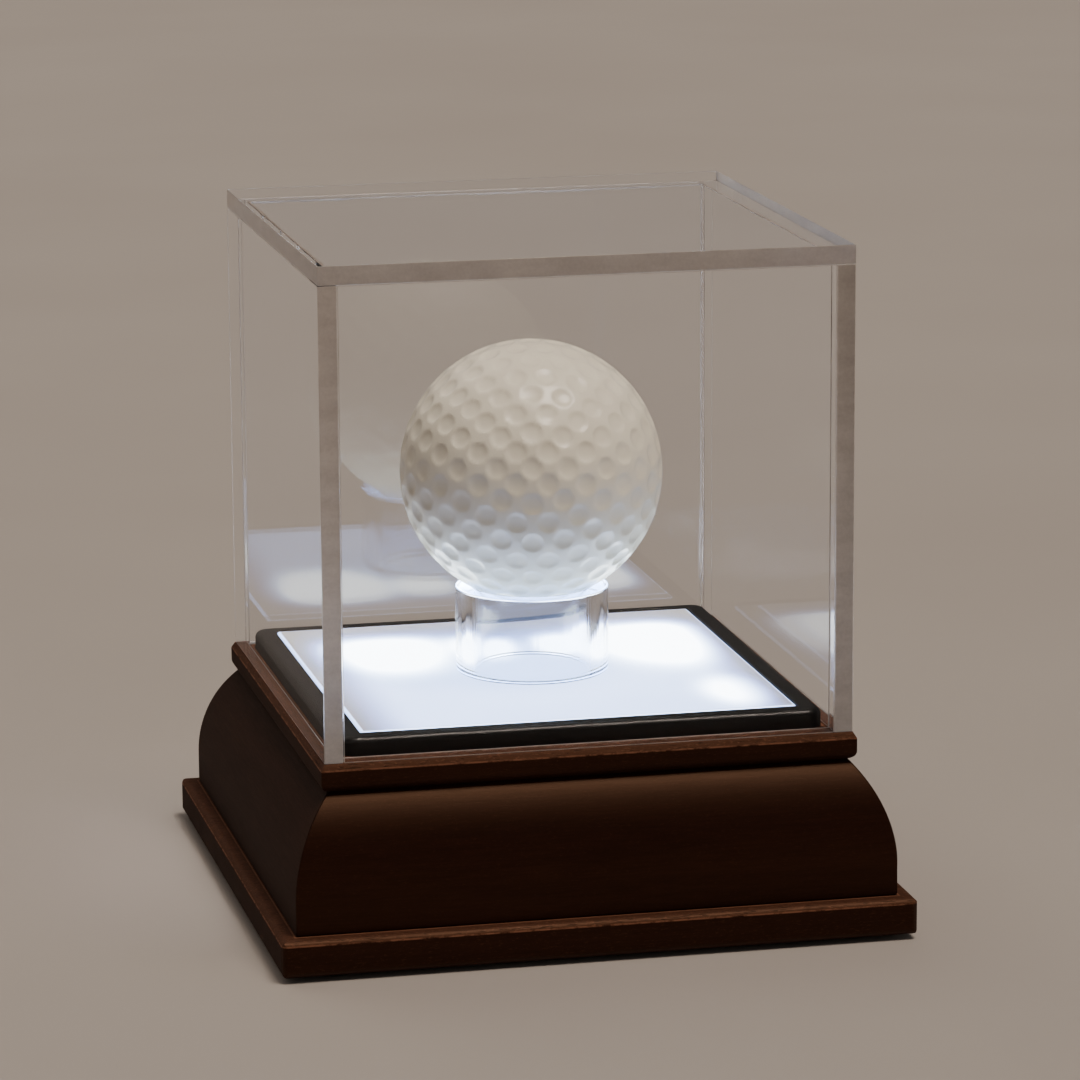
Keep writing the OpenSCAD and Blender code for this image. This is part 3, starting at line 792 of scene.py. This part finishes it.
def add_glue_beads(satin, faint):
    """Thin uneven beads of cement in the cover's inner corners, clear in the rear uprights."""
    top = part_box("cover_top")[0].z
    front_low, front_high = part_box("cover_front")
    foot = front_low.z + 0.5 * MM
    across, deep = front_high.x, -front_high.y
    corners = [(-across, -deep), (across, -deep), (across, deep), (-across, deep)]
    runs = []
    for here, following in zip(corners, corners[1:] + corners[:1]):
        runs.append((Vector((*here, top)), Vector((*following, top)), 0.42 * MM))
        runs.append((Vector((*here, foot)), Vector((*here, top)), 0.17 * MM))
    steps = 90
    for k, (start, end, radius) in enumerate(runs):
        upright = end.z > start.z
        if upright:
            first = Vector((-math.copysign(1, start.x), 0, 0))
            second = Vector((0, -math.copysign(1, start.y), 0))
        else:
            middle = (start + end) / 2
            first = Vector((0, 0, -1))
            second = Vector((-middle.x, -middle.y, 0)).normalized()
        rings = []
        for i in range(steps + 1):
            t = i / steps
            wave = 0.72 + 0.16 * math.sin(11 * t + k)
            wave += 0.12 * math.sin(37 * t + 2.3 * k) + 0.10 * math.sin(83 * t + 1.1 * k)
            r = radius * max(0.25, wave)
            centre = start.lerp(end, t)
            ring = [centre]
            for j in range(7):
                a = math.radians(90) * j / 6
                # A bead in a corner is hollow-faced, as cement draws itself in
                pull = 1 - 0.3 * math.sin(2 * a)
                ring.append(centre + r * pull * (first * math.cos(a) + second * math.sin(a)))
            rings.append(ring)
        points, faces = capped_loft(rings)
        material = faint if upright and start.y > 0 else satin
        new_piece(f"cover_cement_{k + 1}", points, faces, "cover", [material])


# ---- Riser and ball ----

def add_riser(material):
    """The clear ring, with its upper edge dished to the ball."""
    low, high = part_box("riser_ring")
    ball_low, ball_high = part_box("golf_ball")
    wall, eased, seat_gap = 3 * MM, 0.35 * MM, 0.1 * MM
    outer = high.x
    inner = outer - wall
    seat_r = (ball_high.z - ball_low.z) / 2 + seat_gap
    ball_z = (ball_high.z + ball_low.z) / 2
    seat_top = math.sqrt(seat_r ** 2 - (ball_z - high.z) ** 2)
    seat = []
    for i in range(7):
        r = seat_top + (inner - seat_top) * i / 6
        seat.append((r, ball_z - math.sqrt(seat_r ** 2 - r ** 2)))
    profile = (
        arc((inner + eased, low.z + eased), eased, 180, 270, 4)
        + arc((outer - eased, low.z + eased), eased, -90, 0, 4)
        + arc((outer - eased, high.z - eased), eased, 0, 90, 4)
        + seat
    )
    lathe("riser_ring_look", profile, "riser", [material], ["riser_ring"], steps=160)


def octahedral_points(n):
    """Directions of an octahedron's faces split n ways: 4 n n + 2 of them."""
    made = {}
    for i in range(-n, n + 1):
        for j in range(-(n - abs(i)), n - abs(i) + 1):
            rest = n - abs(i) - abs(j)
            for k in {rest, -rest}:
                v = np.array([i, j, k], float)
                made[(i, j, k)] = v / np.linalg.norm(v)
    return np.array([made[key] for key in sorted(made)])


def spread_evenly(points, rounds):
    """Pushes directions apart until they are about evenly spaced."""
    spacing = math.sqrt(4 * math.pi / len(points))
    for _ in range(rounds):
        gap = points[:, None, :] - points[None, :, :]
        distance = np.linalg.norm(gap, axis=2)
        np.fill_diagonal(distance, 9)
        push = (gap / distance[..., None] * np.maximum(0, 1.25 * spacing - distance)[..., None]).sum(1)
        points = points + 0.12 * push
        points /= np.linalg.norm(points, axis=1)[:, None]
    return points


def add_ball(material):
    """The ball, with round dimples pressed into a fine sphere."""
    low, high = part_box("golf_ball")
    radius = (high.z - low.z) / 2
    centre = Vector((0, 0, (low.z + high.z) / 2))
    # The dimple's radius and the mesh's spacing are angles at the ball's centre
    dimple_r = 1.78 * MM / radius
    mesh_step = 0.40 * MM / radius
    depth = 0.34 * MM
    mesh = bmesh.new()
    bmesh.ops.create_icosphere(mesh, subdivisions=7, radius=1)
    mesh.verts.ensure_lookup_table()
    p = np.array([v.co for v in mesh.verts])
    p /= np.linalg.norm(p, axis=1)[:, None]
    _, faces = points_and_faces(mesh)
    mesh.free()
    # One vertex of the pattern faces the front left, with its rows on the slant
    turn = (
        Matrix.Rotation(math.radians(-12), 3, "Z")
        @ Matrix.Rotation(math.radians(78), 3, "X")
        @ Matrix.Rotation(math.radians(45), 3, "Z")
    )
    dimples = spread_evenly(octahedral_points(9), 30) @ np.array(turn).T
    closeness = p @ dimples.T
    nearest = closeness.argmax(axis=1)
    centre_of = dimples[nearest]
    angle = np.arccos(np.clip(closeness.max(axis=1), -1, 1))
    # Points near a dimple's rim move onto it, so that the rim is a clean circle
    side = p - centre_of * np.cos(angle)[:, None]
    side /= np.maximum(np.linalg.norm(side, axis=1), 1e-9)[:, None]
    on_rim = np.abs(angle - dimple_r) < 0.5 * mesh_step
    angle = np.where(on_rim, dimple_r, angle)
    moved = centre_of * np.cos(angle)[:, None] + side * np.sin(angle)[:, None]
    p = np.where(on_rim[:, None], moved, p)
    share = np.clip(angle / dimple_r, 0, 1)
    hollow = depth * (1 - share ** 3)
    points = p * (radius - hollow)[:, None] + np.array(centre)
    new_piece("golf_ball_look", points, faces, "ball", [material], ["golf_ball"], sharp=60)


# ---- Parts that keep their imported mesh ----

def repaint(names, material):
    """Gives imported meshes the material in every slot."""
    for name in names:
        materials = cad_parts[name].data.materials
        for k in range(len(materials)):
            materials[k] = material


add_camera()
add_studio()
add_floor()

plinth_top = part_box("plinth_board")[1]
ledge_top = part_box("ledge_front")[1]
frame_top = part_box("raised_frame")[1]
plinth_wood = stained_wood(
    "plinth_wood", "x", WOOD_DARK, WOOD_LIGHT, WOOD_WEAR_AND_LIGHT,
    edge=(plinth_top.z, 0.75 * MM), seam=-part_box("moulding_front")[0].y,
)
moulding_wood = stained_wood(
    "moulding_wood", "rails", WOOD_DARK, WOOD_LIGHT, WOOD_WEAR_AND_LIGHT, roughness=(0.36, 0.46), pitted=0.1,
)
ledge_wood = stained_wood(
    "ledge_wood", "rails", WOOD_DARK, WOOD_LIGHT, WOOD_WEAR_AND_LIGHT,
    edge=(ledge_top.z, 1.0 * MM), seam=frame_top.x,
)
black_wood = stained_wood(
    "black_wood", "rails", (0.0045, 0.0039, 0.0037), (0.0095, 0.0082, 0.0076), (0.03, 0.02, 0.015),
    roughness=(0.30, 0.40), pitted=0.12, varnish=((0.86, 0.84, 0.84), (0.95, 0.93, 0.93)),
)
repaint(["plinth_board"], plinth_wood)
add_mouldings(moulding_wood)
add_ledges(ledge_wood)
add_raised_frame(black_wood)
add_diffuser()

clear = clear_acrylic("clear_acrylic")
faint = clear_acrylic("faint_acrylic", ior=1.02)
satin = cut_edge("acrylic_edge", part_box("cover_front")[0].z, cad_high.z)
glancing = clear_acrylic("glancing_acrylic", ior=1.03)
add_cover({"rear": clear, "right": glancing}, faint, satin)
add_glue_beads(satin, faint)
add_riser(clear_acrylic("riser_acrylic", (0.88, 0.92, 1.0), 1.0))
add_ball(ball_cover("ball_white"))

raw_wood = moulded(
    "raw_wood", (0.36, 0.22, 0.11), (0.52, 0.36, 0.20), 700, (0.6, 0.8), 0.05, streak=(0.2, 1, 1),
)
repaint(["glue_blocks"], raw_wood)
steel = moulded("screw_steel", (0.42, 0.42, 0.43), (0.62, 0.62, 0.63), 1600, (0.22, 0.38), 0.01, 1.0)
repaint(["base_screws", "tray_screws", "led_board_screws", "battery_box_screws"], steel)
nickel = moulded("contact_steel", (0.52, 0.50, 0.46), (0.70, 0.68, 0.64), 1400, (0.2, 0.32), 0.008, 1.0)
repaint(["battery_springs", "battery_plates", "switch_housing"], nickel)
black_plastic = moulded(
    "black_plastic", (0.010, 0.010, 0.011), (0.022, 0.022, 0.023), 1300, (0.42, 0.6), 0.03,
)
repaint(["battery_box", "battery_door", "switch_slider"], black_plastic)
for piece, look in (
    ("foot_pads", ("foot_rubber", (0.012, 0.012, 0.012), (0.03, 0.03, 0.03), 1500, (0.7, 0.9), 0.05)),
    ("light_tray", ("white_plastic", (0.66, 0.66, 0.64), (0.76, 0.76, 0.74), 900, (0.4, 0.55), 0.02)),
    ("led_board", ("board", (0.60, 0.61, 0.58), (0.70, 0.71, 0.68), 1200, (0.35, 0.5), 0.015)),
    ("leds", ("lamp", (0.75, 0.68, 0.40), (0.85, 0.78, 0.50), 1800, (0.25, 0.4), 0.01)),
    ("resistors", ("chip", (0.01, 0.01, 0.012), (0.02, 0.02, 0.022), 1800, (0.35, 0.5), 0.01)),
    ("wire_positive", ("wire_red", (0.36, 0.015, 0.012), (0.48, 0.025, 0.018), 900, (0.35, 0.5), 0.01)),
    ("wire_negative", ("wire_black", (0.008, 0.008, 0.008), (0.02, 0.02, 0.02), 900, (0.35, 0.5), 0.01)),
    ("wire_switched", ("wire_orange", (0.50, 0.15, 0.02), (0.62, 0.20, 0.03), 900, (0.35, 0.5), 0.01)),
):
    repaint([piece], moulded(*look))
for cell in ("battery_1", "battery_2", "battery_3"):
    cell_low, cell_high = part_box(cell)
    ends = (cell_high.x, cell_low.x) if cell == "battery_2" else (cell_low.x, cell_high.x)
    repaint([cell], printed_cell(cell + "_sleeve", *ends))
